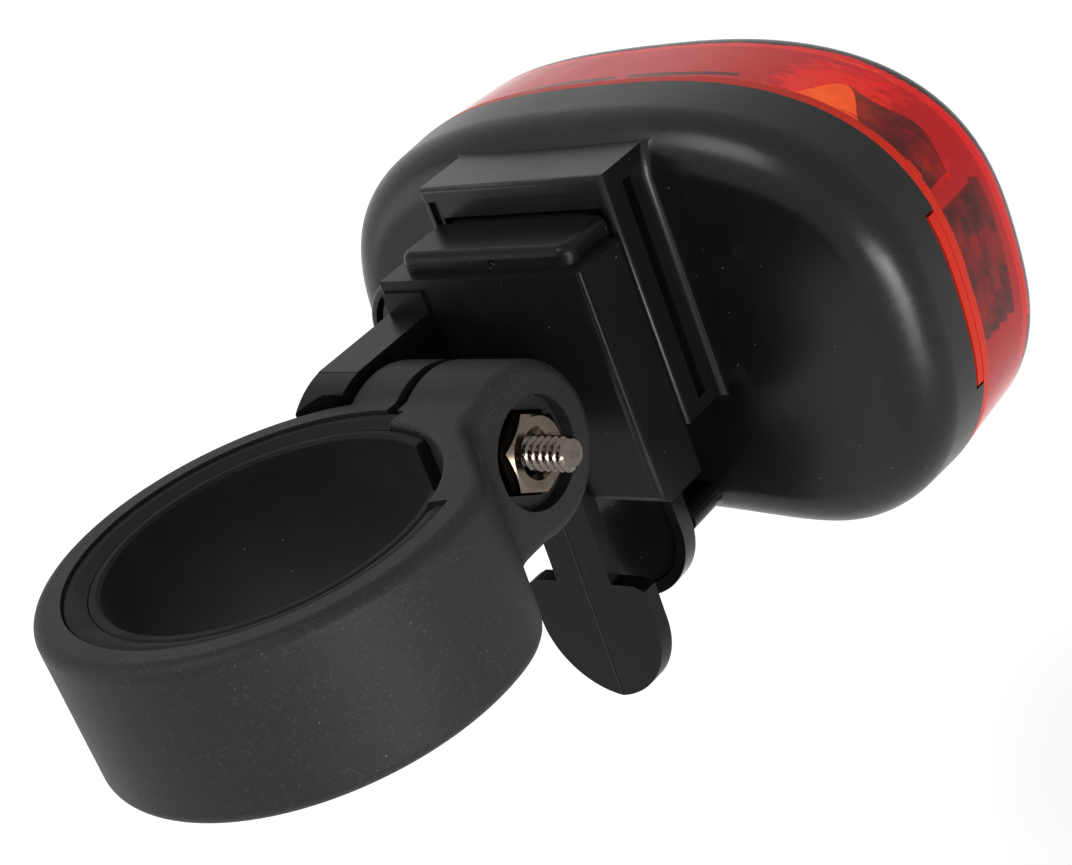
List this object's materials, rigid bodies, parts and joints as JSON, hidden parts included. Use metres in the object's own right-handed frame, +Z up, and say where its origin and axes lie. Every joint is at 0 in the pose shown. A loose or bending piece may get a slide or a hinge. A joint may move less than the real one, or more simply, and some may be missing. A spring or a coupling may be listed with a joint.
{
  "type": "bicycle tail light",
  "caption": "Bicycle tail light: a waisted oval lamp with a clear red lens, on a sliding quick-release bracket held by a rubber-lined post clamp.",
  "frame": {"origin": "centre of the clamp's lined bore, level with the clamp screw", "axes": "+Z up along the post, the lamp faces -Y, the screw's head and the bracket's arm are on the +X side"},
  "size_m": [0.0745, 0.0986, 0.0581],
  "materials": {
    "ring_plastic": "satin",
    "liner_rubber": "satin",
    "nut_steel": "bright",
    "screw_steel": "bright",
    "bracket_plastic": "satin",
    "latch_plastic": "gloss",
    "shell_plastic": "satin",
    "button_rubber": "matte",
    "lens_plastic": "clear gloss",
    "seal_rubber": "matte",
    "reflector_chrome": "metallised",
    "board_laminate": "satin",
    "led_resin": "clear gloss",
    "switch_body": "satin",
    "chip_resin": "matte",
    "small_steel": "bright",
    "tray_plastic": "satin",
    "cell_wrap": "satin"
  },
  "bodies": {
    "clamp": {"clamp_ring": "ring_plastic", "outer_liner": "liner_rubber", "inner_liner": "liner_rubber", "clamp_nut": "nut_steel"},
    "screw": {"clamp_screw": "screw_steel", "screw_washer": "screw_steel"},
    "bracket": {"bracket_shoe": "bracket_plastic"},
    "tongue": {"release_tongue": "latch_plastic"},
    "latch": {"latch_plate": "latch_plastic"},
    "head": {"back_shell": "shell_plastic", "lens_seal": "seal_rubber", "reflector": "reflector_chrome", "circuit_board": "board_laminate", "leds": "led_resin", "tact_switch": "switch_body", "control_chip": "chip_resin", "board_screws": "small_steel", "battery_tray": "tray_plastic", "battery_upper": "cell_wrap", "battery_lower": "cell_wrap", "contact_springs": "small_steel", "contact_plates": "small_steel"},
    "lens_cover": {"lens": "lens_plastic"},
    "button": {"push_button": "button_rubber"}
  },
  "joints": [
    {"name": "screw_turn", "type": "hinge", "parent": "clamp", "child": "screw", "pos_m": [0, -0.0248, 0], "axis": [1, 0, 0], "continuous": true},
    {"name": "bracket_tilt", "type": "hinge", "parent": "clamp", "child": "bracket", "pos_m": [0, -0.0248, 0], "axis": [1, 0, 0], "range_deg": [-5, 15]},
    {"name": "tongue_squeeze", "type": "hinge", "parent": "bracket", "child": "tongue", "pos_m": [0, -0.0361, -0.006], "axis": [1, 0, 0], "range_deg": [-4.5, 0], "stiffness_Nm_per_rad": 3},
    {"name": "latch_swing", "type": "hinge", "parent": "bracket", "child": "latch", "pos_m": [0, -0.0424, -0.008], "axis": [1, 0, 0], "range_deg": [0, 5], "stiffness_Nm_per_rad": 1},
    {"name": "head_slide", "type": "slide", "parent": "bracket", "child": "head", "axis": [0, 0, 1], "range_m": [0, 0.0236]},
    {"name": "lens_pull", "type": "slide", "parent": "head", "child": "lens_cover", "axis": [0, -1, 0], "range_m": [0, 0.015]},
    {"name": "button_press", "type": "slide", "parent": "head", "child": "button", "axis": [0, -1, 0], "range_m": [0, 0.0008], "stiffness_N_per_m": 3000}
  ],
  "couplings": [
    {"joint": "latch_swing", "follows": "tongue_squeeze", "ratio": -1.11}
  ]
}
